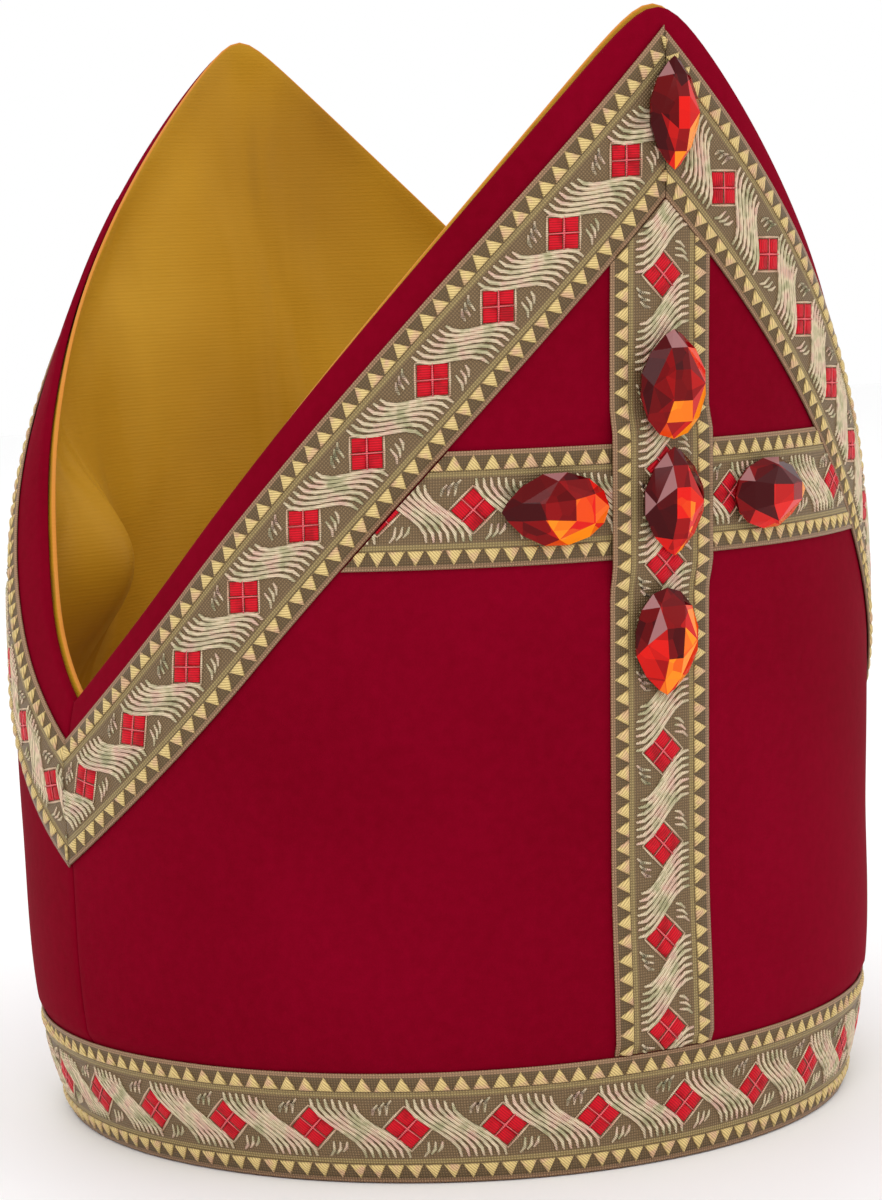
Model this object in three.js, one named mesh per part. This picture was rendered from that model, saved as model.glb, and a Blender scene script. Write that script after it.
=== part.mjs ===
// Bishop mitre: two stiff cloth panels with gold lining, woven braid trim and six flat-backed stones.
// Millimetres, +Z up. The front faces -Y, and +X is to the right as the front is seen.

import * as THREE from 'three';

// Body sections, from the hem up. halfWidth runs along X and halfDepth along Y, to the cloth's outside.
const sections = [
  { height: 0, halfWidth: 94.4, halfDepth: 94.0 },
  { height: 20, halfWidth: 100.2, halfDepth: 94.6 },
  { height: 60, halfWidth: 104.2, halfDepth: 95.8 },
  { height: 110, halfWidth: 104.8, halfDepth: 98.0 },
  { height: 180, halfWidth: 102.8, halfDepth: 101.2 },
  { height: 260, halfWidth: 102.0, halfDepth: 106.0 },
];

// The upper edge of each panel, measured in degrees round the body from the middle of the panel.
const seamAngle = 83.5; // side seams, from the middle of the front
const notchHeight = 104;
const frontPeak = { middle: 0, span: seamAngle, sharpHeight: 260, rounding: 3.9, easing: 22 };
const backPeak = { middle: 180, span: 180 - seamAngle, sharpHeight: 264, rounding: 3.2, easing: 30 };
const notchSlope = 1.2; // millimetres per degree, where an edge runs into the notch

// How far the free edge curls inwards, from the peak (0) down to the notch (1).
const edgeCurl = [
  { along: 0, front: 0.8, back: 2.0 },
  { along: 0.45, front: 3.0, back: 6.5 },
  { along: 0.75, front: 3.5, back: 7.5 },
  { along: 1, front: 2.5, back: 2.5 },
];
const curlWidth = 16;

// Cloth margin left bare between the free edge and the braid, by degrees from the peak.
const margins = [
  { angle: 0, left: 8.3, right: 8.0, back: 8.5 },
  { angle: 35, left: 6.7, right: 5.2, back: 8.5 },
  { angle: 90, left: 7.2, right: 7.0, back: 7.2 },
];
const frontMitreAngle = 0.4; // the front braids meet a little to the right of the middle

// The lining billows inwards beside each notch.
const liningFold = { angle: 130, height: 134, spreadAngle: 14, spreadHeight: 22, depth: 20, rimFade: 12 };

const clothThickness = 2.0;
const liningThickness = 1.0;
const liningProud = 0.9; // the lining's edge shows above the cloth's
const braidThickness = 1.1;
const braidWidth = 25;
const gap = 0.3;
const hemLift = 0.3; // the hem braid stops just above the surface that the cloth stands on

const crossBar = { low: 135.3, high: 160.3 };
const crossRamp = 7; // length over which the upright rises to pass over the bar
const crossClear = 1; // the rise ends this far before the bar

const stones = [
  { name: 'stone_apex', shape: 'marquise', x: 1.6, height: 230, width: 12.6, length: 24, turn: 0 },
  { name: 'stone_top', shape: 'pear', x: 0.8, height: 172.6, width: 17, length: 23.6, turn: 0 },
  { name: 'stone_center', shape: 'marquise', x: 1.0, height: 147.4, width: 15.6, length: 23.6, turn: 0 },
  { name: 'stone_bottom', shape: 'pear', x: 0, height: 116.9, width: 16.4, length: 23.6, turn: 180 },
  { name: 'stone_left', shape: 'pear', x: -25.4, height: 147.2, width: 16, length: 24, turn: 90 },
  { name: 'stone_right', shape: 'pear', x: 29.2, height: 147.2, width: 16, length: 24, turn: -90 },
];
const stoneSides = 12;
const stoneLift = 0.5; // between the flat back and the braid, where the glue is
const stoneRings = [
  { scale: 0.96, rise: 0, halfStep: false },
  { scale: 1, rise: 0.9, halfStep: false },
  { scale: 0.76, rise: 3.3, halfStep: true },
  { scale: 0.44, rise: 4.5, halfStep: false },
];

const finishes = {
  cloth: { color: 0x7d0420, roughness: 0.75, metalness: 0 },
  lining: { color: 0xa87a14, roughness: 0.6, metalness: 0 },
  braid: { color: 0xa08a55, roughness: 0.5, metalness: 0.35 },
  stone: { color: 0xd01808, roughness: 0.08, metalness: 0 },
};

const degree = Math.PI / 180;

// Smooth reading of a table: a cubic through its rows, held level past its ends.
function readTable(table, key, column, at) {
  const last = table.length - 1;
  const spot = THREE.MathUtils.clamp(at, table[0][key], table[last][key]);
  let row = 0;
  while (row < last - 1 && spot > table[row + 1][key]) row += 1;
  const slopeAt = (i) => {
    const before = table[Math.max(i - 1, 0)];
    const after = table[Math.min(i + 1, last)];
    return (after[column] - before[column]) / (after[key] - before[key]);
  };
  const low = table[row];
  const high = table[row + 1];
  const span = high[key] - low[key];
  const t = (spot - low[key]) / span;
  const startWeight = 2 * t ** 3 - 3 * t ** 2 + 1;
  const startSlope = (t ** 3 - 2 * t ** 2 + t) * span * slopeAt(row);
  const endSlope = (t ** 3 - t ** 2) * span * slopeAt(row + 1);
  return startWeight * low[column] + startSlope + (1 - startWeight) * high[column] + endSlope;
}

// Degrees from the middle of the panel that a place belongs to.
function panelAt(angle) {
  const turned = THREE.MathUtils.euclideanModulo(angle + 180, 360) - 180;
  const isFront = Math.abs(turned) <= seamAngle;
  return { peak: isFront ? frontPeak : backPeak, away: isFront ? Math.abs(turned) : 180 - Math.abs(turned) };
}

// Slope of a panel's straight edge, in millimetres per degree, so that it reaches the notch.
function edgeSlope(peak) {
  const drop = peak.sharpHeight - notchHeight - (notchSlope * peak.easing) / 2;
  return drop / (peak.span - peak.easing / 2);
}

// Height of the sharp-cornered edge, and how steep it is there.
function edgeLine(peak, away) {
  const slope = edgeSlope(peak);
  const past = Math.max(away - (peak.span - peak.easing), 0);
  const flatter = (slope - notchSlope) / peak.easing;
  return { height: peak.sharpHeight - slope * away + (flatter * past ** 2) / 2, slope: slope - flatter * past };
}

// Height of the cut edge, with the peak rounded.
function rimHeight(peak, away) {
  const rounded = Math.hypot(away, peak.rounding) - away;
  return edgeLine(peak, away).height - edgeSlope(peak) * rounded;
}

// One over the cosine of the edge's angle on the flat cloth: a distance across becomes a drop.
function dropFor(distance, slope) {
  const arcPerDegree = sections[3].halfWidth * degree;
  return distance * Math.hypot(1, slope / arcPerDegree);
}

function curlAt(angle, height) {
  const { peak, away } = panelAt(angle);
  const line = edgeLine(peak, away);
  const below = (rimHeight(peak, away) - height) / dropFor(1, line.slope);
  const nearness = THREE.MathUtils.clamp(1 - below / curlWidth, 0, 1);
  const column = peak === frontPeak ? 'front' : 'back';
  return readTable(edgeCurl, 'along', column, away / peak.span) * nearness ** 2;
}

// A point on the body: degrees round it, height, and distance out from the cloth's outside.
function bodyPoint(angle, height, offset) {
  const halfWidth = readTable(sections, 'height', 'halfWidth', height);
  const halfDepth = readTable(sections, 'height', 'halfDepth', height);
  const sin = Math.sin(angle * degree);
  const cos = Math.cos(angle * degree);
  const out = new THREE.Vector2(sin / halfWidth, -cos / halfDepth).normalize();
  const reach = offset - curlAt(angle, height);
  return new THREE.Vector3(halfWidth * sin + reach * out.x, -halfDepth * cos + reach * out.y, height);
}

// A closed wall over a grid on the body. place(s, row) gives the angle and height of a grid point: s runs
// round from 0 to 1, and the rows run up. inner and outer give the wall's two offsets there.
function wall({ columns, rows, place, inner, outer, closed = false }) {
  const across = closed ? columns : columns + 1;
  const layerSize = across * rows.length;
  const positions = [];
  for (const offsetAt of [outer, inner]) {
    for (const row of rows) {
      for (let column = 0; column < across; column += 1) {
        const { angle, height } = place(column / columns, row);
        positions.push(...bodyPoint(angle, height, offsetAt(angle, height)).toArray());
      }
    }
  }
  const outside = (column, row) => row * across + (column % across);
  const inside = (column, row) => layerSize + outside(column, row);
  const triangles = [];
  const quad = (a, b, c, d) => triangles.push(a, b, c, a, c, d);
  const top = rows.length - 1;
  for (let column = 0; column < columns; column += 1) {
    for (let row = 0; row < top; row += 1) {
      quad(outside(column, row), outside(column + 1, row), outside(column + 1, row + 1), outside(column, row + 1));
      quad(inside(column, row), inside(column, row + 1), inside(column + 1, row + 1), inside(column + 1, row));
    }
    quad(inside(column, 0), inside(column + 1, 0), outside(column + 1, 0), outside(column, 0));
    quad(outside(column, top), outside(column + 1, top), inside(column + 1, top), inside(column, top));
  }
  for (let row = 0; row < top && !closed; row += 1) {
    quad(inside(0, row), outside(0, row), outside(0, row + 1), inside(0, row + 1));
    quad(outside(columns, row), inside(columns, row), inside(columns, row + 1), outside(columns, row + 1));
  }
  const geometry = new THREE.BufferGeometry();
  geometry.setAttribute('position', new THREE.Float32BufferAttribute(positions, 3));
  geometry.setIndex(triangles);
  return geometry;
}

const mitre = new THREE.Group();

function addPiece(name, geometry, finish) {
  geometry.computeVertexNormals();
  const piece = new THREE.Mesh(geometry, new THREE.MeshStandardMaterial(finish));
  piece.name = name;
  mitre.add(piece);
  return piece;
}

const evenSteps = (count) => Array.from({ length: count + 1 }, (_, i) => i / count);

// Rows of a panel from the hem to the free edge: millimetres up from the hem, then shares of the plain
// part above those, then shares of the curl's width below the edge.
const panelRows = [
  { up: 0 },
  { up: 12 },
  { up: 28 },
  { share: 0.22 },
  { share: 0.44 },
  { share: 0.64 },
  { share: 0.82 },
  { share: 1 },
  { below: 0.75 },
  { below: 0.5 },
  { below: 0.25 },
  { below: 0 },
];
const plainFrom = 28;
const liningRows = [...panelRows, { above: liningProud }];
const panelColumns = 34;

// Angles across a panel, short of each side seam by half of the seam's gap.
function acrossPanel(peak, s) {
  const halfSeam = gap / 2 / (sections[3].halfWidth * degree);
  return peak.middle + (peak.span - halfSeam) * (2 * s - 1);
}

function panelHeight(peak, away, row) {
  const rim = rimHeight(peak, away);
  const curlDrop = dropFor(curlWidth, edgeLine(peak, away).slope);
  if ('up' in row) return row.up;
  if ('share' in row) return plainFrom + row.share * (rim - curlDrop - plainFrom);
  if ('below' in row) return rim - row.below * curlDrop;
  return rim + row.above;
}

function panelWall(peak, rows, inner, outer) {
  const place = (s, row) => {
    const angle = acrossPanel(peak, s);
    return { angle, height: panelHeight(peak, Math.abs(angle - peak.middle), row) };
  };
  return wall({ columns: panelColumns, rows, place, inner, outer });
}

function foldAt(angle, height) {
  const round = THREE.MathUtils.euclideanModulo(angle + 180, 360) - 180;
  const across = (Math.abs(round) - liningFold.angle) / liningFold.spreadAngle;
  const up = (height - liningFold.height) / liningFold.spreadHeight;
  const { peak, away } = panelAt(angle);
  const below = (rimHeight(peak, away) - height) / dropFor(1, edgeLine(peak, away).slope);
  const free = THREE.MathUtils.smoothstep(below, 0, liningFold.rimFade);
  return free * liningFold.depth * Math.exp(-across * across - up * up);
}

function addPanels() {
  const liningOutside = -clothThickness - gap;
  for (const [side, peak] of Object.entries({ front: frontPeak, back: backPeak })) {
    addPiece(`${side}_panel`, panelWall(peak, panelRows, () => -clothThickness, () => 0), finishes.cloth);
    const outer = (angle, height) => liningOutside - foldAt(angle, height);
    const inner = (angle, height) => outer(angle, height) - liningThickness;
    addPiece(`${side}_lining`, panelWall(peak, liningRows, inner, outer), finishes.lining);
  }
}

// Braid lies flat on the cloth, a gap above it.
const flatBraid = { inner: () => gap, outer: () => gap + braidThickness };

function addHemBraid() {
  const place = (s, r) => ({ angle: 360 * s, height: hemLift + r * braidWidth });
  addPiece('hem_braid', wall({ columns: 84, rows: evenSteps(2), place, ...flatBraid, closed: true }), finishes.braid);
}

// Rows across a chevron braid, closer together where the cloth under it starts to curl.
const chevronRows = [0, 0.35, 0.65, 0.77, 0.89, 1];

// The two edges of a chevron braid, by degrees from the peak. A place past the mitre line has away < 0.
function chevronEdges(peak, column, away) {
  const line = edgeLine(peak, Math.max(away, 0));
  const height = line.height - Math.min(away, 0) * edgeSlope(peak);
  const margin = readTable(margins, 'angle', column, Math.max(away, 0));
  return {
    high: height - dropFor(margin, line.slope),
    low: height - dropFor(margin + braidWidth, line.slope),
  };
}

function addChevronBraid(name, peak, column, side, mitreAngle) {
  const halfGap = gap / 2 / (sections[3].halfWidth * degree);
  const place = (s, r) => {
    const fromMitre = side > 0 ? s : 1 - s;
    const start = mitreAngle * side + halfGap;
    const away = start + (peak.span - halfGap - start) * fromMitre;
    const edges = chevronEdges(peak, column, away);
    return { angle: peak.middle + side * away, height: edges.low + r * (edges.high - edges.low) };
  };
  addPiece(name, wall({ columns: 28, rows: chevronRows, place, ...flatBraid }), finishes.braid);
}

// Degrees from the middle at which the inner edge of a front braid comes down to a height.
function chevronReach(column, height) {
  let low = 0;
  let high = seamAngle;
  for (let step = 0; step < 30; step += 1) {
    const middle = (low + high) / 2;
    if (chevronEdges(frontPeak, column, middle).low - gap > height) low = middle;
    else high = middle;
  }
  return low;
}

function addCross() {
  const barPlace = (s, r) => {
    const height = crossBar.low + r * (crossBar.high - crossBar.low);
    const left = -chevronReach('left', height + gap);
    const right = chevronReach('right', height + gap);
    return { angle: left + (right - left) * s, height };
  };
  const bar = wall({ columns: 26, rows: evenSteps(2), place: barPlace, ...flatBraid });
  addPiece('cross_bar', bar, finishes.braid);

  // The upright keeps its width, and steps up over the bar.
  const angleFor = (x, height) => Math.asin(x / readTable(sections, 'height', 'halfWidth', height)) / degree;
  const topAt = (x) => {
    const column = x > 0 ? 'right' : 'left';
    return chevronEdges(frontPeak, column, Math.abs(angleFor(x, crossBar.high))).low - 2 * gap;
  };
  // Its rows: bottom, start of the rise, over the bar, end of the rise, and the top that follows the chevron.
  const stops = [
    { height: hemLift + braidWidth + gap, steps: 6 },
    { height: crossBar.low - crossClear - crossRamp, steps: 4 },
    { height: crossBar.low - crossClear, steps: 2 },
    { height: crossBar.high + crossClear, steps: 4 },
    { height: crossBar.high + crossClear + crossRamp, steps: 4 },
  ];
  const uprightPlace = (s, row) => {
    const x = (s - 0.5) * braidWidth;
    const low = stops[row.stop].height;
    const high = row.stop + 1 < stops.length ? stops[row.stop + 1].height : topAt(x);
    const height = low + row.share * (high - low);
    return { angle: angleFor(x, height), height };
  };
  const uprightRows = stops.flatMap(({ steps }, stop) => (
    evenSteps(steps).slice(stop > 0 ? 1 : 0).map((share) => ({ stop, share }))
  ));
  const rise = braidThickness + gap;
  const riseAt = (height) => {
    const away = Math.max(crossBar.low - crossClear - height, height - crossBar.high - crossClear, 0);
    return rise * (1 - THREE.MathUtils.smoothstep(away, 0, crossRamp));
  };
  const upright = wall({
    columns: 4,
    rows: uprightRows,
    place: uprightPlace,
    inner: (angle, height) => gap + riseAt(height),
    outer: (angle, height) => gap + braidThickness + riseAt(height),
  });
  addPiece('cross_upright', upright, finishes.braid);
  return riseAt;
}

// Outlines of one unit of half-length, point at +Y. A marquise has two points and a pear has one.
function stoneOutline(shape, width, length) {
  const points = [];
  for (let corner = 0; corner < stoneSides; corner += 1) {
    const turn = (corner / stoneSides) * 2 * Math.PI;
    const up = Math.cos(turn);
    const fullness = Math.abs(Math.sin(turn)) ** (shape === 'pear' ? 0.45 : 0.6);
    const narrow = up > 0 || shape === 'marquise' ? Math.min(fullness, 1) : 1;
    points.push(new THREE.Vector2((-Math.sin(turn) * narrow * width) / 2, (up * length) / 2));
  }
  return points;
}

function stoneGeometry({ shape, width, length }) {
  const outline = stoneOutline(shape, width, length);
  const positions = [];
  for (const ring of stoneRings) {
    for (let corner = 0; corner < stoneSides; corner += 1) {
      const next = outline[(corner + 1) % stoneSides];
      const point = ring.halfStep ? outline[corner].clone().lerp(next, 0.5) : outline[corner].clone();
      point.multiplyScalar(ring.scale);
      positions.push(point.x, point.y, ring.rise);
    }
  }
  const triangles = [];
  const at = (ring, corner) => ring * stoneSides + (corner % stoneSides);
  for (let corner = 0; corner < stoneSides; corner += 1) {
    triangles.push(at(0, corner), at(0, corner + 1), at(1, corner + 1));
    triangles.push(at(0, corner), at(1, corner + 1), at(1, corner));
    triangles.push(at(1, corner), at(1, corner + 1), at(2, corner));
    triangles.push(at(2, corner), at(1, corner + 1), at(2, corner + 1));
    triangles.push(at(2, corner), at(2, corner + 1), at(3, corner + 1));
    triangles.push(at(2, corner), at(3, corner + 1), at(3, corner));
  }
  for (let corner = 1; corner < stoneSides - 1; corner += 1) {
    triangles.push(at(0, 0), at(0, corner + 1), at(0, corner));
    triangles.push(at(3, 0), at(3, corner), at(3, corner + 1));
  }
  const geometry = new THREE.BufferGeometry();
  geometry.setAttribute('position', new THREE.Float32BufferAttribute(positions, 3));
  geometry.setIndex(triangles);
  return geometry;
}

// Each stone stands square to the body on the braid under it.
function addStones(riseAt) {
  for (const stone of stones) {
    const angle = Math.asin(stone.x / readTable(sections, 'height', 'halfWidth', stone.height)) / degree;
    const reach = stone.length / 2;
    const onUpright = Math.abs(stone.x) < braidWidth / 2;
    const highest = Math.max(riseAt(stone.height - reach), riseAt(stone.height), riseAt(stone.height + reach));
    const braidTop = gap + braidThickness + (onUpright ? highest : 0);
    const seat = bodyPoint(angle, stone.height, braidTop + stoneLift);
    const right = bodyPoint(angle + 1, stone.height, 0).sub(bodyPoint(angle - 1, stone.height, 0)).normalize();
    const up = bodyPoint(angle, stone.height + reach, 0).sub(bodyPoint(angle, stone.height - reach, 0));
    const out = new THREE.Vector3().crossVectors(right, up).normalize();
    const piece = addPiece(stone.name, stoneGeometry(stone), finishes.stone);
    const square = new THREE.Matrix4().makeBasis(right, new THREE.Vector3().crossVectors(out, right), out);
    piece.quaternion.setFromRotationMatrix(square);
    piece.rotateZ(stone.turn * degree);
    piece.position.copy(seat);
  }
}

addPanels();
addHemBraid();
addChevronBraid('front_braid_left', frontPeak, 'left', -1, frontMitreAngle);
addChevronBraid('front_braid_right', frontPeak, 'right', 1, frontMitreAngle);
addChevronBraid('back_braid_left', backPeak, 'back', 1, 0);
addChevronBraid('back_braid_right', backPeak, 'back', -1, 0);
const riseAt = addCross();
addStones(riseAt);

// The origin is the middle of the whole, on the surface that it stands on.
const box = new THREE.Box3().setFromObject(mitre);
mitre.position.set(-(box.min.x + box.max.x) / 2, -(box.min.y + box.max.y) / 2, 0);

export default mitre;
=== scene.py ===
import math
import random

import bmesh
import bpy
from mathutils import Matrix, Vector, noise


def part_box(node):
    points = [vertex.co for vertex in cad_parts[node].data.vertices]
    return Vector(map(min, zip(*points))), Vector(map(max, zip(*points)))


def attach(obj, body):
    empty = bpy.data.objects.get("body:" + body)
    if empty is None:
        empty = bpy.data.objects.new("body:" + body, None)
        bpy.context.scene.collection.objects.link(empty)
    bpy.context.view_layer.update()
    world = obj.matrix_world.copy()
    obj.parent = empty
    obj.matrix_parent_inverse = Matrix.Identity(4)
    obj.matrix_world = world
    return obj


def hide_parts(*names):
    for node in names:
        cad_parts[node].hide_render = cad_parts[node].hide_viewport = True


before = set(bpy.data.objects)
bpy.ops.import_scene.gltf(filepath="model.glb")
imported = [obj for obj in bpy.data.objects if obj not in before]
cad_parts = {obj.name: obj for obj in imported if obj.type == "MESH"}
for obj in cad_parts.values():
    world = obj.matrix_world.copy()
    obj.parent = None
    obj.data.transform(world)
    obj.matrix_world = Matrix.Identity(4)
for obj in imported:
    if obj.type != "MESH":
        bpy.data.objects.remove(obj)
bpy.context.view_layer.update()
print("frame loaded")

mm = 0.001
degree = math.pi / 180

# The body's own tables, in millimetres and degrees round it from the middle of the front.
body = {
    "height": [0, 20, 60, 110, 180, 260],
    "halfWidth": [94.4, 100.2, 104.2, 104.8, 102.8, 102.0],
    "halfDepth": [94.0, 94.6, 95.8, 98.0, 101.2, 106.0],
    "arcPerDegree": 104.8 * degree,
    "seamAngle": 83.5,
    "notchHeight": 104,
    "notchSlope": 1.2,
    "curlWidth": 16,
    "gap": 0.3,
    "ripple": 0.35,  # soft unevenness of the cloth
    "hemPuff": 1.3,  # how far the cloth swells above the hem braid
}
frontPeak = {"name": "front", "middle": 0, "span": 83.5, "sharpHeight": 260, "rounding": 3.9, "easing": 22}
backPeak = {"name": "back", "middle": 180, "span": 96.5, "sharpHeight": 264, "rounding": 3.2, "easing": 30}
edgeCurl = {"along": [0, 0.45, 0.75, 1], "front": [0.8, 3.0, 3.5, 2.5], "back": [2.0, 6.5, 7.5, 2.5]}
margins = {
    "angle": [0, 35, 90],
    "left": [8.3, 6.7, 7.2],
    "right": [8.0, 5.2, 7.0],
    "back": [8.5, 8.5, 7.2],
}

hemLow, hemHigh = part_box("hem_braid")
axisY = (hemLow[1] + hemHigh[1]) / 2  # the body's upright axis, in metres


def readTable(table, key, column, at):
    keys, values = table[key], table[column]
    last = len(keys) - 1
    spot = min(max(at, keys[0]), keys[last])
    row = 0
    while row < last - 1 and spot > keys[row + 1]:
        row += 1

    def slopeAt(i):
        before, after = max(i - 1, 0), min(i + 1, last)
        return (values[after] - values[before]) / (keys[after] - keys[before])

    span = keys[row + 1] - keys[row]
    t = (spot - keys[row]) / span
    startWeight = 2 * t**3 - 3 * t**2 + 1
    bend = (t**3 - 2 * t**2 + t) * slopeAt(row) + (t**3 - t**2) * slopeAt(row + 1)
    return startWeight * values[row] + (1 - startWeight) * values[row + 1] + bend * span


def smoothStep(x, low, high):
    t = min(max((x - low) / (high - low), 0), 1)
    return t * t * (3 - 2 * t)


def signedAngle(angle):
    return (angle + 180) % 360 - 180


def edgeSlope(peak):
    drop = peak["sharpHeight"] - body["notchHeight"] - body["notchSlope"] * peak["easing"] / 2
    return drop / (peak["span"] - peak["easing"] / 2)


def edgeLine(peak, away):
    slope = edgeSlope(peak)
    past = max(away - (peak["span"] - peak["easing"]), 0)
    flatter = (slope - body["notchSlope"]) / peak["easing"]
    return peak["sharpHeight"] - slope * away + flatter * past**2 / 2, slope - flatter * past


def rimHeight(peak, away):
    rounded = math.hypot(away, peak["rounding"]) - away
    return edgeLine(peak, away)[0] - edgeSlope(peak) * rounded


def dropFor(distance, slope):
    return distance * math.hypot(1, slope / body["arcPerDegree"])


def belowEdge(angle, height):
    turned = abs(signedAngle(angle))
    peak = frontPeak if turned <= body["seamAngle"] else backPeak
    away = turned if peak is frontPeak else 180 - turned
    slope = edgeLine(peak, away)[1]
    return peak, away, (rimHeight(peak, away) - height) / dropFor(1, slope)


def curlAt(angle, height):
    peak, away, below = belowEdge(angle, height)
    nearness = min(max(1 - below / body["curlWidth"], 0), 1)
    if nearness == 0:
        return 0
    return readTable(edgeCurl, "along", peak["name"], away / peak["span"]) * nearness**2


def rippleAt(angle, height):
    place = Vector((math.sin(angle * degree), math.cos(angle * degree), height / 100)) * 2.2
    return noise.noise(place) * body["ripple"]


# A point on the body, in metres, out from the cloth's outside by offset millimetres.
def bodyPoint(angle, height, offset):
    halfWidth = readTable(body, "height", "halfWidth", height)
    halfDepth = readTable(body, "height", "halfDepth", height)
    sin, cos = math.sin(angle * degree), math.cos(angle * degree)
    out = Vector((sin / halfWidth, -cos / halfDepth)).normalized()
    reach = offset - curlAt(angle, height) + rippleAt(angle, height)
    x = (halfWidth * sin + reach * out.x) * mm
    y = (-halfDepth * cos + reach * out.y) * mm + axisY
    return Vector((x, y, height * mm))


def addObject(name, bm, materials, replaced, smooth=True):
    for face in bm.faces:
        face.smooth = smooth
    mesh = bpy.data.meshes.new(name)
    bm.to_mesh(mesh)
    bm.free()
    for material in materials:
        mesh.materials.append(material)
    piece = bpy.data.objects.new(name, mesh)
    bpy.context.scene.collection.objects.link(piece)
    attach(piece, "root")
    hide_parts(replaced)
    return piece


# materials

def newMaterial(name, **sockets):
    material = bpy.data.materials.new(name)
    material.use_nodes = True
    shader = material.node_tree.nodes["Principled BSDF"]
    for socket, value in sockets.items():
        shader.inputs[socket.replace("_", " ")].default_value = value
    return material, material.node_tree, shader


def addNode(tree, kind, inputs=None, **settings):
    node = tree.nodes.new(kind)
    for key, value in settings.items():
        setattr(node, key, value)
    for key, value in (inputs or {}).items():
        if isinstance(value, bpy.types.NodeSocket):
            tree.links.new(value, node.inputs[key])
        else:
            node.inputs[key].default_value = value
    return node


def addRamp(tree, factor, stops):
    ramp = addNode(tree, "ShaderNodeValToRGB", {"Fac": factor})
    elements = ramp.color_ramp.elements
    while len(elements) < len(stops):
        elements.new(0.5)
    for element, (position, color) in zip(elements, stops):
        element.position = position
        element.color = (*color, 1)
    return ramp.outputs["Color"]


def addMix(tree, factor, first, second, blend="MIX"):
    mix = addNode(tree, "ShaderNodeMix", data_type="RGBA", blend_type=blend)
    for socket, value in ((0, factor), (6, first), (7, second)):
        if isinstance(value, bpy.types.NodeSocket):
            tree.links.new(value, mix.inputs[socket])
        else:
            mix.inputs[socket].default_value = value
    return mix.outputs[2]


def addBump(tree, shader, height, strength, distance, under=None):
    bump = addNode(tree, "ShaderNodeBump", {"Height": height, "Strength": strength, "Distance": distance})
    if under is not None:
        tree.links.new(under, bump.inputs["Normal"])
    tree.links.new(bump.outputs["Normal"], shader.inputs["Normal"])
    return bump.outputs["Normal"]


def scaled(tree, coordinates, scale):
    node = addNode(tree, "ShaderNodeMapping", {"Vector": coordinates, "Scale": scale})
    return node.outputs["Vector"]


clothLook = {
    "deep": (0.158, 0.0003, 0.0075),
    "bright": (0.212, 0.0005, 0.0125),
    "threads": 2600,  # per metre
}


def makeCloth():
    material, tree, shader = newMaterial(
        "crimsonCloth", Roughness=0.8, Sheen_Weight=0.03, Sheen_Roughness=0.4,
        Sheen_Tint=(0.9, 0.02, 0.06, 1), Specular_IOR_Level=0.02,
    )
    uv = addNode(tree, "ShaderNodeTexCoord").outputs["UV"]
    place = addNode(tree, "ShaderNodeTexCoord").outputs["Object"]
    cloudy = addNode(tree, "ShaderNodeTexNoise", {"Vector": place, "Scale": 14.0, "Detail": 3.0})
    nap = addNode(tree, "ShaderNodeTexNoise", {"Vector": place, "Scale": 420.0, "Detail": 4.0})
    tone = addMix(tree, 0.35, cloudy.outputs["Fac"], nap.outputs["Fac"])
    color = addRamp(tree, tone, [(0.32, clothLook["deep"]), (0.68, clothLook["bright"])])
    tree.links.new(color, shader.inputs["Base Color"])
    threads = clothLook["threads"]
    warp = addNode(tree, "ShaderNodeTexWave", {"Vector": scaled(tree, uv, (threads, 0, 0)), "Scale": 0.16},
                   wave_profile="SIN")
    weft = addNode(tree, "ShaderNodeTexWave", {"Vector": scaled(tree, uv, (0, threads, 0)), "Scale": 0.16},
                   bands_direction="Y", wave_profile="SIN")
    weave = addMix(tree, 0.5, warp.outputs["Fac"], weft.outputs["Fac"])
    fine = addBump(tree, shader, weave, 0.10, 0.0002)
    addBump(tree, shader, nap.outputs["Fac"], 0.22, 0.0004, under=fine)
    return material


# The lining's edge colour is a painted highlight: a thin orange line along the rim, where the lining's turned edge
# catches light.
liningLook = {
    "shade": (0.350, 0.160, 0.006),
    "body": (0.490, 0.245, 0.010),
    "glow": (0.580, 0.310, 0.020),
    "edge": (0.620, 0.230, 0.030),
    "rimHighlightWidth": 0.0007,
}


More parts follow.
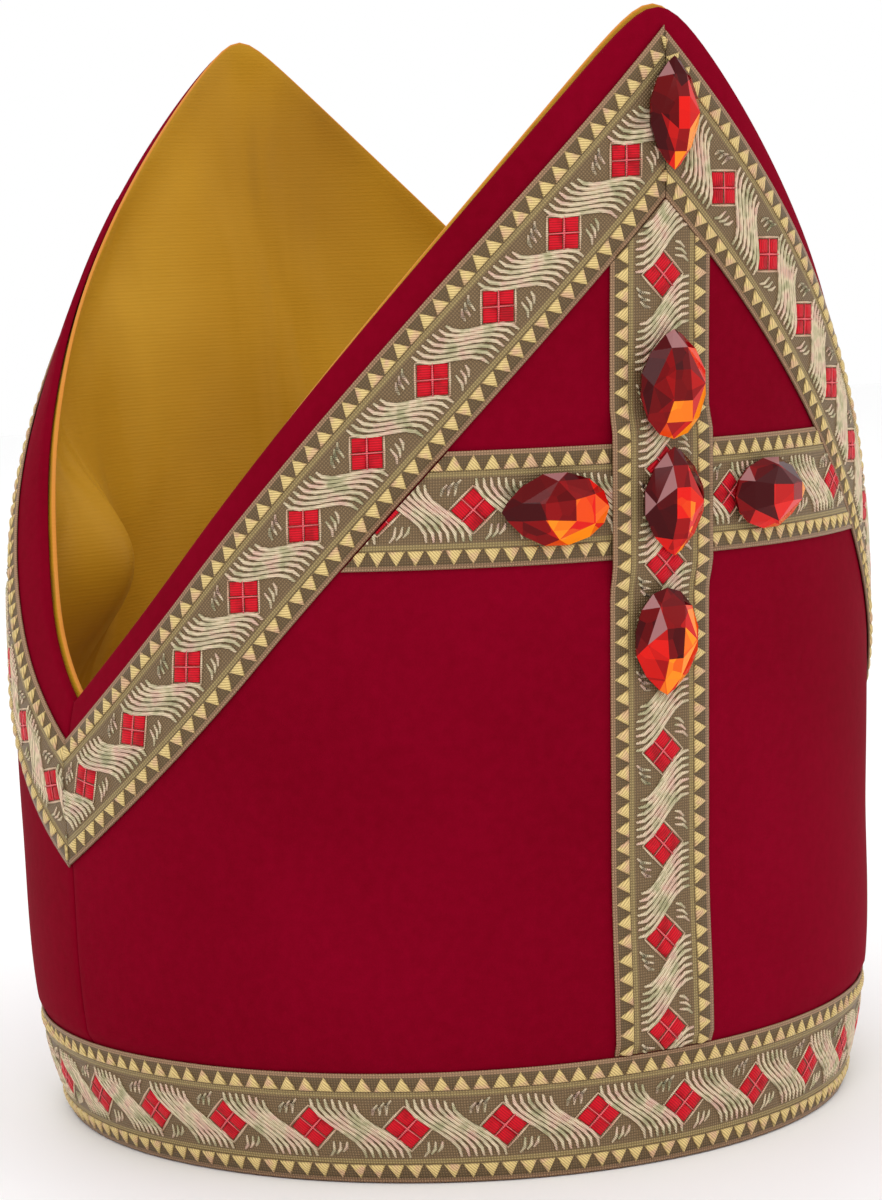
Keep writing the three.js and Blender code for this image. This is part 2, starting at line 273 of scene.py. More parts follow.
def makeLining():
    material, tree, shader = newMaterial(
        "goldLining", Roughness=0.55, Sheen_Weight=0.12, Sheen_Roughness=0.35,
        Sheen_Tint=(1.0, 0.70, 0.16, 1), Specular_IOR_Level=0.16,
    )
    uv = addNode(tree, "ShaderNodeTexCoord").outputs["UV"]
    place = addNode(tree, "ShaderNodeTexCoord").outputs["Object"]
    cloudy = addNode(tree, "ShaderNodeTexNoise", {"Vector": place, "Scale": 11.0, "Detail": 2.0})
    color = addRamp(tree, cloudy.outputs["Fac"], [
        (0.30, liningLook["shade"]), (0.52, liningLook["body"]), (0.72, liningLook["glow"]),
    ])
    # Painted highlight: within a thin band below the rim, the colour turns to the edge orange.
    below = addNode(tree, "ShaderNodeAttribute", attribute_name="belowEdge").outputs["Fac"]
    rimHighlight = addNode(tree, "ShaderNodeMapRange", {
        "Value": below, "From Min": liningLook["rimHighlightWidth"], "From Max": liningLook["rimHighlightWidth"] * 0.4,
    })
    color = addMix(tree, rimHighlight.outputs["Result"], color, (*liningLook["edge"], 1))
    tree.links.new(color, shader.inputs["Base Color"])
    weft = addNode(tree, "ShaderNodeTexWave", {"Vector": scaled(tree, uv, (0, 2200, 0)), "Scale": 0.16},
                   bands_direction="Y")
    slub = addNode(tree, "ShaderNodeTexNoise", {"Vector": scaled(tree, uv, (60, 900, 1)), "Scale": 1.0})
    folds = addNode(tree, "ShaderNodeTexNoise", {"Vector": scaled(tree, uv, (26, 9, 1)), "Scale": 1.0,
                                                 "Detail": 2.0, "Distortion": 0.6})
    fine = addBump(tree, shader, weft.outputs["Fac"], 0.12, 0.0002)
    fine = addBump(tree, shader, slub.outputs["Fac"], 0.18, 0.0003, under=fine)
    addBump(tree, shader, folds.outputs["Fac"], 0.8, 0.012, under=fine)
    return material


braidLook = {
    "groundDark": (0.185, 0.115, 0.048),
    "ground": (0.245, 0.155, 0.072),
    "groundLight": (0.400, 0.290, 0.120),
    "selvedge": (0.460, 0.270, 0.150),
    "tooth": (0.760, 0.570, 0.240),
    "toothPink": (0.700, 0.440, 0.260),
    "strand": (0.820, 0.680, 0.470),
    "strandPink": (0.800, 0.540, 0.420),
    "strandGreen": (0.520, 0.480, 0.280),
    "red": (0.640, 0.002, 0.014),
    "redDark": (0.420, 0.001, 0.008),
    "line": (0.950, 0.160, 0.180),
    "outline": (0.700, 0.420, 0.280),
}


# One kind of thread: colours that change from place to place, and a twist across it.
def makeThread(name, colors, metallic, twist):
    material, tree, shader = newMaterial(
        name, Metallic=metallic, Roughness=0.5, Specular_IOR_Level=0.15,
        Sheen_Weight=0.04, Sheen_Roughness=0.5,
    )
    uv = addNode(tree, "ShaderNodeTexCoord").outputs["UV"]
    patches = addNode(tree, "ShaderNodeTexNoise", {"Vector": scaled(tree, uv, (260, 260, 1)), "Scale": 1.0})
    stops = [(0.34 + 0.32 * i / max(len(colors) - 1, 1), color) for i, color in enumerate(colors)]
    color = addRamp(tree, patches.outputs["Fac"], stops)
    twisted = addNode(tree, "ShaderNodeTexWave", {"Vector": scaled(tree, uv, (twist, twist, 1)), "Scale": 0.16},
                      bands_direction="DIAGONAL")
    shaded = addRamp(tree, twisted.outputs["Fac"], [(0.0, (0.45, 0.42, 0.38)), (0.55, (1, 1, 1))])
    tree.links.new(addMix(tree, 0.8, color, shaded, "MULTIPLY"), shader.inputs["Base Color"])
    addBump(tree, shader, twisted.outputs["Fac"], 0.5, 0.0002)
    return material


def makeBraidMaterials():
    look = braidLook
    ground, tree, shader = newMaterial("braidGround", Metallic=0.2, Roughness=0.5, Specular_IOR_Level=0.4)
    uv = addNode(tree, "ShaderNodeTexCoord").outputs["UV"]
    across = addNode(tree, "ShaderNodeSeparateXYZ", {"Vector": uv}).outputs["Y"]
    fromMiddle = addNode(tree, "ShaderNodeMath", {0: across, 1: braidSize["width"] * mm / 2}, operation="SUBTRACT")
    fromMiddle = addNode(tree, "ShaderNodeMath", {0: fromMiddle.outputs[0]}, operation="ABSOLUTE").outputs[0]
    share = addNode(tree, "ShaderNodeMapRange", {"Value": fromMiddle, "From Max": braidSize["width"] * mm / 2})
    bands = addRamp(tree, share.outputs["Result"], [
        (0.00, look["ground"]), (0.55, look["ground"]), (0.58, look["groundLight"]),
        (0.64, look["groundLight"]), (0.67, look["groundDark"]), (0.91, look["groundDark"]), (0.94, look["selvedge"]),
    ])
    warp = addNode(tree, "ShaderNodeTexWave", {"Vector": scaled(tree, uv, (3200, 0, 0)), "Scale": 0.16})
    weft = addNode(tree, "ShaderNodeTexWave", {"Vector": scaled(tree, uv, (0, 3200, 0)), "Scale": 0.16},
                   bands_direction="Y")
    weave = addMix(tree, 1.0, warp.outputs["Fac"], weft.outputs["Fac"], "MULTIPLY")
    shaded = addRamp(tree, weave, [(0.0, (0.30, 0.28, 0.25)), (0.5, (1, 1, 1))])
    tree.links.new(addMix(tree, 0.75, bands, shaded, "MULTIPLY"), shader.inputs["Base Color"])
    addBump(tree, shader, weave, 0.6, 0.0003)
    return [
        ground,
        makeThread("braidTeeth", [look["toothPink"], look["tooth"], look["tooth"]], 0.25, 5200),
        makeThread("braidStrands", [look["strandPink"], look["strand"], look["strandGreen"]], 0.3, 7000),
        makeThread("braidRed", [look["redDark"], look["red"], look["red"]], 0.0, 5200),
        makeThread("braidLines", [look["line"], look["line"]], 0.0, 6000),
        makeThread("braidOutline", [look["outline"], look["strand"]], 0.2, 6000),
    ]


groundIndex, toothIndex, strandIndex, redIndex, lineIndex, outlineIndex = range(6)


# cloth panels and their lining

panelSize = {
    "thickness": 2.0,
    "columns": 120,
    "rows": 84,
    "edgeRound": 0.6,
    "seamGap": 0.12,
}
liningSize = {
    "thickness": 1.0,
    "proud": 0.9,
    "clear": 0.3,
    "fold": {"angle": 131, "height": 128, "spreadAngle": 14, "spreadHeight": 24, "depth": 22, "rimFade": 12},
    "edgeRound": 0.3,
}


# A sheet made in its own flat coordinates, given a second side by an extrusion, then laid on the body.
def makeSheet(peak, above, outer, inner, edgeRound):
    bm = bmesh.new()
    bmesh.ops.create_grid(bm, x_segments=panelSize["columns"], y_segments=panelSize["rows"], size=0.5)
    far = bmesh.ops.extrude_face_region(bm, geom=bm.faces[:], use_keep_orig=True)
    backVerts = [v for v in far["geom"] if isinstance(v, bmesh.types.BMVert)]
    bmesh.ops.translate(bm, verts=backVerts, vec=(0, 0, -1))
    halfSeam = panelSize["seamGap"] / 2 / body["arcPerDegree"]
    uvLayer = bm.loops.layers.uv.new("flat")
    belowLayer = bm.verts.layers.float.new("belowEdge")
    flat = {}
    for vert in bm.verts:
        s, r, side = vert.co.x + 0.5, vert.co.y + 0.5, vert.co.z
        angle = peak["middle"] + (peak["span"] - halfSeam) * (2 * s - 1)
        rim = rimHeight(peak, abs(angle - peak["middle"])) + above
        height = rim * r
        offset = outer(angle, height) if side > -0.5 else inner(angle, height)
        vert.co = bodyPoint(angle, height, offset + puffAt(angle, height))
        vert[belowLayer] = max(belowEdge(angle, height)[2] + above, 0) * mm
        flat[vert] = (angle * body["arcPerDegree"] * mm, height * mm)
    for face in bm.faces:
        for loop in face.loops:
            loop[uvLayer].uv = flat[loop.vert]
    bmesh.ops.recalc_face_normals(bm, faces=bm.faces[:])
    corners = [e for e in bm.edges if len(e.link_faces) == 2 and e.calc_face_angle() > 60 * degree]
    bmesh.ops.bevel(bm, geom=corners, offset=edgeRound * mm, segments=2, affect="EDGES", profile=0.5, material=-1)
    return bm


# The cloth swells over the top of the hem braid, and is flat again a little higher.
def puffAt(angle, height):
    hemTop = (hemHigh[2] / mm)
    return body["hemPuff"] * smoothStep(height, hemTop - 1, hemTop + 3) * (1 - smoothStep(height, hemTop + 4, hemTop + 45))


def foldAt(angle, height):
    fold = liningSize["fold"]
    across = (abs(signedAngle(angle)) - fold["angle"]) / fold["spreadAngle"]
    up = (height - fold["height"]) / fold["spreadHeight"]
    free = smoothStep(belowEdge(angle, height)[2], 0, fold["rimFade"])
    return free * fold["depth"] * math.exp(-across * across - up * up)


def creaseAt(angle, height):
    place = Vector((angle / 16, height / 34, 3.0))
    depth = noise.noise(place) * 1.1 + noise.noise(place * 2.7) * 0.4
    free = smoothStep(belowEdge(angle, height)[2], 0, 14) * smoothStep(height, 0, 25)
    return max(depth, -0.25) * free


def makePanels():
    cloth, lining = makeCloth(), makeLining()
    for peak in (frontPeak, backPeak):
        name = peak["name"]
        thickness = panelSize["thickness"]
        bm = makeSheet(peak, 0, lambda a, h: 0, lambda a, h: -thickness, panelSize["edgeRound"])
        panel = addObject(f"{name}_cloth", bm, [cloth], f"{name}_panel")

        def outer(angle, height):
            return -thickness - liningSize["clear"] - foldAt(angle, height) - creaseAt(angle, height) - 0.3

        def inner(angle, height):
            return outer(angle, height) - liningSize["thickness"]

        bm = makeSheet(peak, liningSize["proud"], outer, inner, liningSize["edgeRound"])
        inside = addObject(f"{name}_inside", bm, [lining], f"{name}_lining")


# braid

braidSize = {
    "width": 25.0,
    "pitch": 20.7,  # one diamond to the next
    "ground": 0.45,  # thickness of the tape under the raised threads
    "teeth": 5,
    "toothRow": 3.0,  # from the tape's edge to the middle of a tooth
    "toothSize": 2.3,
    "toothRise": 0.75,
    "diamondLong": 5.1,
    "diamondHigh": 4.9,
    "strands": 7,
    "strandThick": 0.47,
    "fieldHalf": 6.7,
}


# A closed thread that follows a short path on the tape, thinner at its ends.
def makeRod(bm, path, radius, materialIndex, sides=5, rise=0.0):
    before = set(bm.faces)
    ring = bmesh.ops.create_circle(bm, segments=sides, radius=1, cap_ends=True)["verts"]
    face = next(f for f in ring[0].link_faces if len(f.verts) == sides)
    last = len(path) - 1

    def setRing(verts, i):
        here = Vector(path[i])
        ahead = Vector(path[min(i + 1, last)]) - Vector(path[max(i - 1, 0)])
        side = Vector((-ahead.y, ahead.x)).normalized()
        thin = 0.55 if i in (0, last) else 1
        for k, vert in enumerate(verts):
            turn = 2 * math.pi * k / sides
            flat = here + side * math.cos(turn) * radius * thin
            vert.co = (flat.x, flat.y, rise + math.sin(turn) * radius * 0.9 * thin)

    setRing(list(face.verts), 0)
    for i in range(1, last + 1):
        out = bmesh.ops.extrude_face_region(bm, geom=[face], use_keep_orig=(i == 1))
        face = next(f for f in out["geom"] if isinstance(f, bmesh.types.BMFace))
        setRing(list(face.verts), i)
    for f in bm.faces:
        if f not in before:
            f.material_index = materialIndex


def makePad(bm, x, y, sides, radius, turn, depth, materialIndex, stretch=1.0, top=0.62):
    place = Matrix.Translation((x, y, braidSize["ground"] + depth / 2 - 0.05))
    place = place @ Matrix.Diagonal((1, stretch, 1, 1)) @ Matrix.Rotation(turn, 4, "Z")
    before = set(bm.faces)
    made = bmesh.ops.create_cone(
        bm, cap_ends=True, segments=sides, radius1=radius, radius2=radius * top, depth=depth, matrix=place,
    )["verts"]
    upper = [e for e in {e for v in made for e in v.link_edges} if all(v.co.z > braidSize["ground"] for v in e.verts)]
    bmesh.ops.bevel(bm, geom=upper, offset=radius * 0.16, segments=1, affect="EDGES", profile=0.5, material=-1)
    for f in bm.faces:
        if f not in before:
            f.material_index = materialIndex


# One repeat of the pattern on the flat tape: x along it, y across it, z up, in millimetres.
def makeRepeat():
    size = braidSize
    bm = bmesh.new()
    middle, centre = size["pitch"] / 2, size["width"] / 2
    high = size["ground"]
    toothStep = size["pitch"] / size["teeth"]
    for i in range(size["teeth"]):
        x = toothStep * (i + 0.5)
        for y, turn in ((size["toothRow"], 180), (size["width"] - size["toothRow"], 0)):
            makePad(bm, x, y, 3, size["toothSize"], turn * degree, size["toothRise"], toothIndex, top=0.6)
    long, tall = size["diamondLong"], size["diamondHigh"]
    for dx, dy in ((0.5, 0), (-0.5, 0), (0, 0.5), (0, -0.5)):
        makePad(bm, middle + dx * long, centre + dy * tall, 4, long * 0.46, 0, 0.55, redIndex, tall / long, 0.7)
    corners = [(long, 0), (0, tall), (-long, 0), (0, -tall)]
    for i in range(4):
        a, b = Vector(corners[i]) * 1.06, Vector(corners[(i + 1) % 4]) * 1.06
        path = [Vector((middle, centre)) + a.lerp(b, t) for t in (0, 0.5, 1)]
        makeRod(bm, path, 0.30, outlineIndex, sides=4, rise=high + 0.12)
    for a, b in (((-0.5, -0.5), (0.5, 0.5)), ((-0.5, 0.5), (0.5, -0.5))):
        path = [(middle + long * (a[0] + (b[0] - a[0]) * t), centre + tall * (a[1] + (b[1] - a[1]) * t))
                for t in (0, 0.5, 1)]
        makeRod(bm, path, 0.24 if a[1] < 0 else 0.17, lineIndex, sides=4, rise=high + 0.36)
    half = size["fieldHalf"]
    for i in range(size["strands"]):
        share = i / (size["strands"] - 1)
        start = middle + 0.6 + 9.6 * share
        path = []
        for step in range(8):
            t = step / 7
            sway = smoothStep(t, 0.05, 0.95)
            inset = 1.3 * (1 - math.sin(math.pi * share)) * (1 if share > 0.5 else 0.4)
            y = centre + half - 2 * half * t - (inset if share > 0.5 else -0.0) * (1 - t) * 0.8
            path.append((start + 10.0 * (0.55 * sway + 0.45 * t) - 0.7 * math.sin(2 * math.pi * t), y))
        makeRod(bm, path, size["strandThick"], strandIndex, rise=high + 0.12)
    for side in (1, -1):
        for k in range(3):
            x = middle - side * (2.6 + 1.5 * k)
            y = centre + side * (half - 0.2 - 0.5 * k)
            path = [(x, y), (x - side * 1.1, y - side * 1.2), (x - side * 1.4, y - side * (3.4 - 0.5 * k))]
            makeRod(bm, path, 0.42, strandIndex, sides=4, rise=high + 0.08)
    bmesh.ops.recalc_face_normals(bm, faces=bm.faces[:])
    mesh = bpy.data.meshes.new("braidRepeat")
    bm.to_mesh(mesh)
    bm.free()
    return mesh


# Lays tape along x from 0 to length: the plain tape first, then the repeats, the first diamond at phase.
def layTape(repeat, length, phase):
    size = braidSize
    bm = bmesh.new()
    columns = max(2, round(length / 2.6))
    bmesh.ops.create_grid(bm, x_segments=columns, y_segments=10, size=0.5)
    bmesh.ops.scale(bm, vec=(length, size["width"], 1), verts=bm.verts[:])
    bmesh.ops.translate(bm, vec=(length / 2, size["width"] / 2, size["ground"]), verts=bm.verts[:])
    far = bmesh.ops.extrude_face_region(bm, geom=bm.faces[:], use_keep_orig=True)
    under = [v for v in far["geom"] if isinstance(v, bmesh.types.BMVert)]
    bmesh.ops.translate(bm, verts=under, vec=(0, 0, -size["ground"]))
    bmesh.ops.recalc_face_normals(bm, faces=bm.faces[:])
    first = math.floor((0 - phase - size["pitch"] / 2) / size["pitch"])
    last = math.ceil((length - phase) / size["pitch"])
    for i in range(first, last + 1):
        count = len(bm.verts)
        bm.from_mesh(repeat)
        bm.verts.ensure_lookup_table()
        shift = phase + i * size["pitch"] - size["pitch"] / 2
        bmesh.ops.translate(bm, verts=bm.verts[count:], vec=(shift, 0, 0))
    return bm


# Cuts everything on the far side of an upright plane away, and closes what the cut opened.
def cutTape(bm, point, normal):
    geometry = bm.verts[:] + bm.edges[:] + bm.faces[:]
    cut = bmesh.ops.bisect_plane(bm, geom=geometry, dist=1e-5, plane_co=point, plane_no=normal, clear_outer=True)
    edges = [e for e in cut["geom_cut"] if isinstance(e, bmesh.types.BMEdge)]
    bmesh.ops.holes_fill(bm, edges=edges, sides=0)


def setFlatUv(bm):
    uvLayer = bm.loops.layers.uv.new("flat")
    for face in bm.faces:
        for loop in face.loops:
            loop[uvLayer].uv = (loop.vert.co.x * mm, loop.vert.co.y * mm)


# Moves each vertex (round in mm, height, up) on to the body.
def wrapTape(bm, place, rise=lambda height: 0):
    for vert in bm.verts:
        angle, height = place(vert.co.x, vert.co.y)
        up = body["gap"] + vert.co.z + rise(height) + puffAt(angle, height)
        vert.co = bodyPoint(angle, height, up)


# The outer edge of a chevron braid as a row of stops: place on the flat cloth, length along it, and
# the direction across the tape.
def chevronRoute(peak, column, mitreAngle, side):
    stops = []
    arc = body["arcPerDegree"]
    start = mitreAngle * side
    step = 0.5
    count = int((peak["span"] + 16 - (start - 22)) / step)

    def edge(away):
        height, slope = edgeLine(peak, max(away, 0))
        height -= min(away, 0) * edgeSlope(peak)
        margin = readTable(margins, "angle", column, max(away, 0))
        return Vector((away * arc, height - dropFor(margin, slope)))

    travelled = 0
    before = None
    for i in range(count + 1):
        away = start - 22 + i * step
        here = edge(away)
        if before is not None:
            travelled += (here - before).length
        along = (edge(away + 1.5) - edge(away - 1.5)).normalized()
        stops.append([travelled, here, Vector((along.y, -along.x))])
        before = here
    atMitre = stops[round(22 / step)][0]
    for stop in stops:
        stop[0] -= atMitre
    return stops


def onRoute(stops, s, depth):
    low, high = 0, len(stops) - 1
    while high - low > 1:
        middle = (low + high) // 2
        if stops[middle][0] > s:
            high = middle
        else:
            low = middle
    t = (s - stops[low][0]) / (stops[high][0] - stops[low][0])
    here = stops[low][1].lerp(stops[high][1], t)
    return here + stops[low][2].lerp(stops[high][2], t) * depth


chevrons = {
    "front_edge_left": {"node": "front_braid_left", "peak": frontPeak, "column": "left", "side": -1, "phase": 27.3},
    "front_edge_right": {"node": "front_braid_right", "peak": frontPeak, "column": "right", "side": 1, "phase": 34.9},
    "back_edge_left": {"node": "back_braid_left", "peak": backPeak, "column": "back", "side": 1, "phase": 30.0},
    "back_edge_right": {"node": "back_braid_right", "peak": backPeak, "column": "back", "side": -1, "phase": 30.0},
}
mitreAngles = {"front": 0.4, "back": 0.0}


def makeChevrons(repeat, materials):
    size = braidSize
    arc = body["arcPerDegree"]
    for name, chevron in chevrons.items():
        peak, side = chevron["peak"], chevron["side"]
        mitreAngle = mitreAngles[peak["name"]]
        stops = chevronRoute(peak, chevron["column"], mitreAngle, side)
        reach = next(s for s, place, _ in stops if place.x > (peak["span"] + 9) * arc)
        overlap = 3.0  # tape beyond the outer corner, before the mitre is cut
        length = reach + overlap
        # The tape runs down the right-hand side, and up the left-hand side.
        phase = chevron["phase"] + overlap if side > 0 else length - overlap - chevron["phase"]
        bm = layTape(repeat, length, phase)
        setFlatUv(bm)
        for vert in bm.verts:
            s = vert.co.x - overlap if side > 0 else reach - vert.co.x
            flat = onRoute(stops, s, size["width"] - vert.co.y)
            vert.co.x, vert.co.y = side * flat.x, flat.y
        halfGap = body["gap"] / 2
        cutTape(bm, (mitreAngle * arc + side * halfGap, 0, 0), (-side, 0, 0))
        cutTape(bm, (side * (peak["span"] * arc - halfGap), 0, 0), (side, 0, 0))
        wrapTape(bm, lambda x, y: (peak["middle"] + x / arc, y))
        addObject(name, bm, materials, chevron["node"])


hemLook = {"repeats": 29, "firstAngle": -3.3}
crossSize = {
    "barLow": 135.3,
    "barHigh": 160.3,
    "ramp": 7,
    "clear": 1,
    "rise": 1.4,
    "uprightFirst": 30.4,  # height of the lowest diamond
    "barFirst": -43.4,  # round from the middle
}


def makeHem(repeat, materials):
    length = hemLook["repeats"] * braidSize["pitch"]
    bm = layTape(repeat, length, braidSize["pitch"] / 2)
    cutTape(bm, (0.02, 0, 0), (-1, 0, 0))
    cutTape(bm, (length - 0.02, 0, 0), (1, 0, 0))
    setFlatUv(bm)
    turn = 360 / length
    start = hemLook["firstAngle"] - turn * braidSize["pitch"] / 2 + 180
    low = hemLow[2] / mm
    wrapTape(bm, lambda x, y: (start + x * turn, low + y))
    addObject("hem_band", bm, materials, "hem_braid")


def riseAt(height):
    size = crossSize
    away = max(size["barLow"] - size["clear"] - height, height - size["barHigh"] - size["clear"], 0)
    return size["rise"] * (1 - smoothStep(away, 0, size["ramp"]))


# Where the inner edge of a front chevron comes to a height, round from the middle in millimetres.
def innerEdge(column, side, height):
    stops = chevronRoute(frontPeak, column, mitreAngles["front"], side)
    places = [place + across * braidSize["width"] for _, place, across in stops]
    for before, after in zip(places, places[1:]):
        if before.y >= height > after.y:
            return side * before.lerp(after, (before.y - height) / (before.y - after.y)).x
    return 0


def makeCross(repeat, materials):
    size, width, arc = crossSize, braidSize["width"], body["arcPerDegree"]
    gap = 0.35
    edges = {}
    for column, side in (("left", -1), ("right", 1)):
        low, high = size["barLow"], size["barHigh"]
        a = Vector((innerEdge(column, side, low), low))
        b = Vector((innerEdge(column, side, high), high))
        edges[side] = (a, Vector(((b - a).y, -(b - a).x)).normalized() * (1 if side > 0 else -1))
    start = edges[-1][0].x - 6
    length = edges[1][0].x + 6 - start
    phase = (size["barFirst"] - start) % braidSize["pitch"]
    bm = layTape(repeat, length, phase)
    setFlatUv(bm)
    bmesh.ops.translate(bm, verts=bm.verts[:], vec=(start, size["barLow"], 0))
    for side, (point, normal) in edges.items():
        point = point - normal * gap
        cutTape(bm, (point.x, point.y, 0), (normal.x, normal.y, 0))
    wrapTape(bm, lambda x, y: (x / arc, y))
    addObject("cross_band", bm, materials, "cross_bar")

    low = hemHigh[2] / mm + body["gap"]
    top = 222
    bm = layTape(repeat, top - low, size["uprightFirst"] - low)
    cutTape(bm, (0.02, 0, 0), (-1, 0, 0))
    setFlatUv(bm)
    for vert in bm.verts:
        vert.co.x, vert.co.y = width / 2 - vert.co.y, low + vert.co.x
    for column, side in (("left", -1), ("right", 1)):
        near, far = 206, 196
        a = Vector((innerEdge(column, side, near), near))
        b = Vector((innerEdge(column, side, far), far))
        normal = Vector(((a - b).y, -(a - b).x)).normalized() * (1 if side > 0 else -1)
        if normal.y < 0:
            normal = -normal
        point = a - normal * gap
        cutTape(bm, (point.x, point.y, 0), (normal.x, normal.y, 0))

    def place(x, y):
        return math.asin(x / readTable(body, "height", "halfWidth", y)) / degree, y

    wrapTape(bm, place, riseAt)
    addObject("cross_post", bm, materials, "cross_upright")


# stones

# The stone colours stand in for light inside the stone. Dark, deep and bright red are painted shade and painted
# light, the orange is a painted glow of light refracted inside it, and the glint colour is a painted reflection.
stoneLook = {
    "dark": (0.050, 0.000, 0.001),
    "deep": (0.260, 0.002, 0.003),
    "bright": (0.720, 0.010, 0.006),
    "paintedGlow": (1.000, 0.260, 0.010),
    "glint": (0.420, 0.200, 0.200),
}
stones = {
    "stone_apex": {"shape": "marquise", "x": 1.6, "height": 230, "width": 12.6, "length": 24, "turn": 0},
    "stone_top": {"shape": "pear", "x": 0.8, "height": 172.6, "width": 17, "length": 23.6, "turn": 0},
    "stone_center": {"shape": "marquise", "x": 1.0, "height": 147.4, "width": 15.6, "length": 23.6, "turn": 0},
    "stone_bottom": {"shape": "pear", "x": 0, "height": 116.9, "width": 16.4, "length": 23.6, "turn": 180},
    "stone_left": {"shape": "pear", "x": -25.4, "height": 147.2, "width": 16, "length": 24, "turn": 90},
    "stone_right": {"shape": "pear", "x": 29.2, "height": 147.2, "width": 16, "length": 24, "turn": -90},
}
stoneCut = {"lift": 0.5, "girdleSides": 14, "crownSides": 6, "tableSides": 4, "light": 0.35}


def stonePoint(shape, width, length, turn):
    up = math.cos(turn)
    if shape == "marquise":
        narrow = abs(math.sin(turn)) ** 0.7
    else:
        narrow = abs(math.sin(turn)) ** 0.7 if up > 0 else 1
    return Vector((-math.sin(turn) * narrow * width / 2, up * length / 2))


def makeStoneMaterial():
    material, tree, shader = newMaterial(
        "flameStone", Roughness=0.05, Specular_IOR_Level=0.12,
    )
    # Each face's tone picks the colour. The tone is a painted glow of refracted light plus a random share. A Voronoi
    # pattern adds painted reflections of the inner facets, and painted glints go on top.
    tone = addNode(tree, "ShaderNodeAttribute", attribute_name="tone").outputs["Fac"]
    place = addNode(tree, "ShaderNodeTexCoord").outputs["Object"]
    paintedInnerReflections = addNode(tree, "ShaderNodeTexVoronoi", {"Vector": place, "Scale": 170.0})
    flecks = addNode(tree, "ShaderNodeMath", {0: paintedInnerReflections.outputs["Color"], 1: 0.24}, operation="MULTIPLY")
    mixed = addNode(tree, "ShaderNodeMath", {0: tone, 1: flecks.outputs[0]}, operation="ADD").outputs[0]
    look = stoneLook
    color = addRamp(tree, mixed, [
        (0.10, look["dark"]), (0.34, look["deep"]), (0.50, look["bright"]), (0.60, look["bright"]),
        (0.76, look["paintedGlow"]),
    ])
    glint = addNode(tree, "ShaderNodeAttribute", attribute_name="glint").outputs["Fac"]
    color = addMix(tree, glint, color, (*look["glint"], 1))
    tree.links.new(color, shader.inputs["Base Color"])
    return material


def makeStones():
    material = makeStoneMaterial()
    chance = random.Random(7)
    for name, stone in stones.items():
        shape, width, length = stone["shape"], stone["width"], stone["length"]
        bm = bmesh.new()
        rings = [
            (stoneCut["girdleSides"], 0.86, -0.35, 0.0),
            (stoneCut["girdleSides"], 0.97, 0.0, 0.0),
            (stoneCut["girdleSides"], 1.0, 0.8, 0.0),
            (stoneCut["crownSides"], 0.78, 3.1, 0.5),
            (stoneCut["tableSides"], 0.40, 4.5, 0.5),
        ]
        for sides, scale, rise, shift in rings:
            for k in range(sides):
                flat = stonePoint(shape, width, length, 2 * math.pi * (k + shift) / sides) * scale
                bm.verts.new((flat.x, flat.y, rise))
        hull = bmesh.ops.convex_hull(bm, input=bm.verts[:])
        bmesh.ops.dissolve_limit(bm, angle_limit=4 * degree, verts=bm.verts[:], edges=bm.edges[:])
        bmesh.ops.recalc_face_normals(bm, faces=bm.faces[:])
        toneAndGlowLayer = bm.faces.layers.float.new("tone")
        glintLayer = bm.faces.layers.float.new("glint")
        turned = Matrix.Rotation(stone["turn"] * degree, 3, "Z")
        for face in bm.faces:
            middle = face.calc_center_median()
            seen = turned @ Vector((middle.x / width, middle.y / length, 0))
            # Painted glow: faces towards the stone's lower right get a brighter, more orange tone, like light
            # refracted inside it, plus a random share.
            paintedGlowSide = (seen.x - seen.y) * 1.1
            tone = 0.17 + 0.70 * paintedGlowSide + chance.uniform(-0.22, 0.30)
            face[toneAndGlowLayer] = min(max(tone, 0), 0.80)
            # Painted glints: a few faces turned up towards the light get a pale reflection colour.
            facing = turned @ face.normal
            towardsSky = facing.y * 0.6 - facing.x * 0.5
            face[glintLayer] = 0.7 if towardsSky > 0.3 and face.normal.z > 0.5 and chance.random() < stoneCut["light"] else 0
        angle = math.asin(stone["x"] / readTable(body, "height", "halfWidth", stone["height"])) / degree
        high, reach = stone["height"], length / 2
        onUpright = abs(stone["x"]) < braidSize["width"] / 2
        rise = max(riseAt(high - reach), riseAt(high), riseAt(high + reach)) if onUpright else 0
        seat = bodyPoint(angle, high, body["gap"] + 1.1 + rise + stoneCut["lift"])
        right = (bodyPoint(angle + 1, high, 0) - bodyPoint(angle - 1, high, 0)).normalized()
        up = (bodyPoint(angle, high + reach, 0) - bodyPoint(angle, high - reach, 0)).normalized()
        out = right.cross(up).normalized()
        up = out.cross(right)
        basis = Matrix((right, up, out)).transposed().to_4x4()
        place = Matrix.Translation(seat) @ basis @ Matrix.Rotation(stone["turn"] * degree, 4, "Z")
        place = place @ Matrix.Diagonal((mm, mm, mm, 1))
        bmesh.ops.transform(bm, matrix=place, verts=bm.verts[:])
        addObject(name + "_cut", bm, [material], name, smooth=False)


# camera, floor and light

cameraPlace = {
    "turn": 28.82,  # degrees round to the mitre's right-hand side
    "away": 0.795,
    "height": 0.2025,
    "down": 6.06,
    "lean": -1.93,
    "focal": 3285 / 1200,  # in picture heights
}


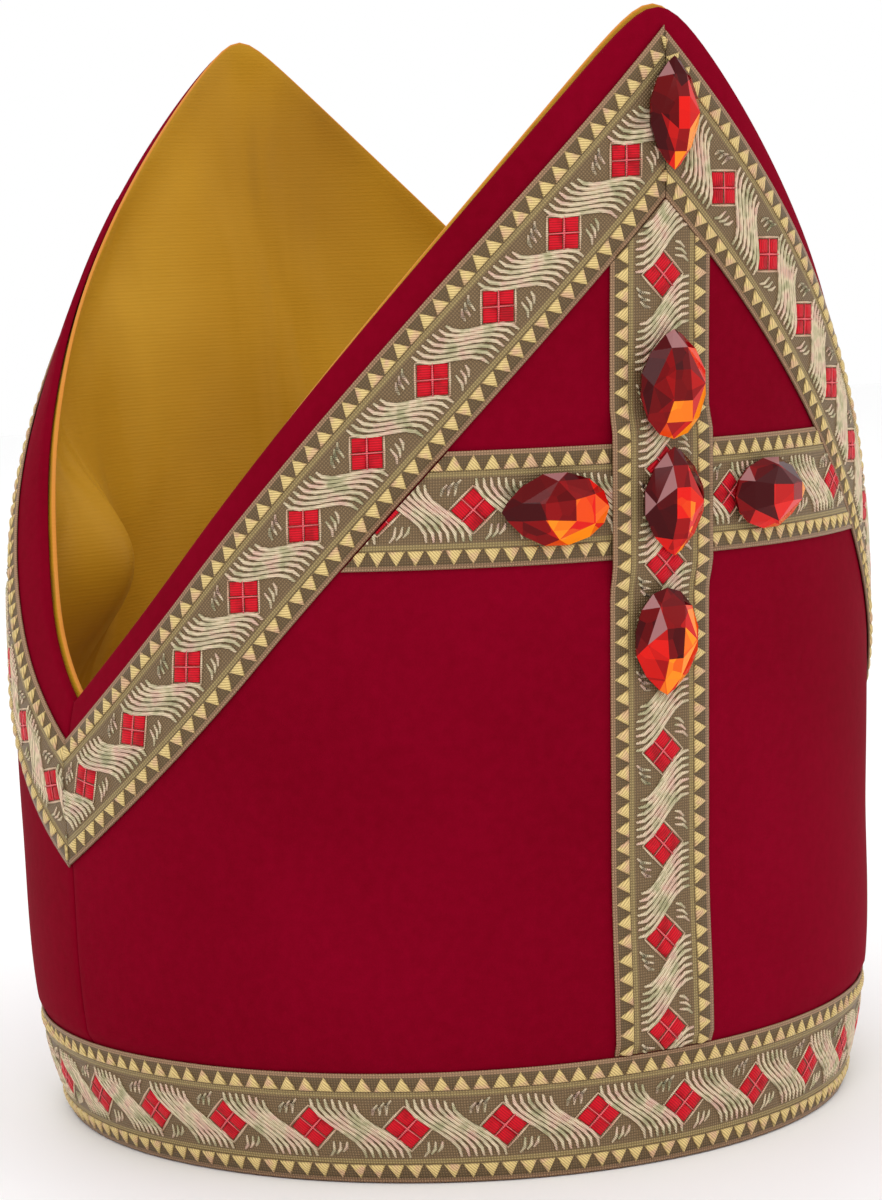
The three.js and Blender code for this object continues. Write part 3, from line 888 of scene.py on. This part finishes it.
def makeCamera():
    spot = cameraPlace
    turn, down, lean = (spot[k] * degree for k in ("turn", "down", "lean"))
    forward = Vector((math.sin(turn) * math.cos(down), math.cos(turn) * math.cos(down), -math.sin(down)))
    right = Vector((math.cos(turn), -math.sin(turn), 0))
    up = right.cross(forward)
    leanRight = right * math.cos(lean) + up * math.sin(lean)
    leanUp = up * math.cos(lean) - right * math.sin(lean)
    data = bpy.data.cameras.new("camera")
    data.sensor_fit = "VERTICAL"
    data.sensor_height = 24
    data.lens = 24 * spot["focal"]
    data.clip_start = 0.01
    camera = bpy.data.objects.new("camera", data)
    place = Vector((-math.sin(turn) * spot["away"], axisY - math.cos(turn) * spot["away"], spot["height"]))
    basis = Matrix((leanRight, leanUp, -forward)).transposed().to_4x4()
    camera.matrix_world = Matrix.Translation(place) @ basis
    bpy.context.scene.collection.objects.link(camera)
    bpy.context.scene.camera = camera


def makeFloor():
    bm = bmesh.new()
    bmesh.ops.create_grid(bm, x_segments=8, y_segments=8, size=3)
    mesh = bpy.data.meshes.new("floor")
    bm.to_mesh(mesh)
    bm.free()
    material, _, _ = newMaterial("paleFloor", Roughness=0.6)
    material.node_tree.nodes["Principled BSDF"].inputs["Base Color"].default_value = (0.97, 0.97, 0.97, 1)
    mesh.materials.append(material)
    floor = bpy.data.objects.new("floor", mesh)
    bpy.context.scene.collection.objects.link(floor)


lights = {
    "key": {"place": (-0.9, -1.3, 1.5), "size": 1.1, "power": 9},
    "fill": {"place": (1.3, -1.0, 0.9), "size": 1.4, "power": 3},
    "back": {"place": (0.2, 1.4, 1.6), "size": 1.4, "power": 3},
}


def makeLights():
    for name, light in lights.items():
        data = bpy.data.lights.new(name, "AREA")
        data.shape = "DISK"
        data.size = light["size"]
        data.energy = light["power"]
        lamp = bpy.data.objects.new(name, data)
        place = Vector(light["place"])
        aim = (Vector((0, 0, 0.12)) - place).to_track_quat("-Z", "Y")
        lamp.matrix_world = Matrix.Translation(place) @ aim.to_matrix().to_4x4()
        bpy.context.scene.collection.objects.link(lamp)
    world = bpy.data.worlds.new("studio")
    world.use_nodes = True
    background = world.node_tree.nodes["Background"]
    background.inputs["Color"].default_value = (1, 1, 1, 1)
    background.inputs["Strength"].default_value = 1.0
    bpy.context.scene.world = world
    bpy.context.scene.view_settings.view_transform = "Standard"


makeCamera()
makeFloor()
makeLights()
print("camera, floor and lights made")
makePanels()
print("panels and lining made")
braidMaterials = makeBraidMaterials()
braidRepeat = makeRepeat()
print("braid repeat has", len(braidRepeat.polygons), "faces")
makeHem(braidRepeat, braidMaterials)
makeChevrons(braidRepeat, braidMaterials)
makeCross(braidRepeat, braidMaterials)
print("braid made")
makeStones()
print("stones made")
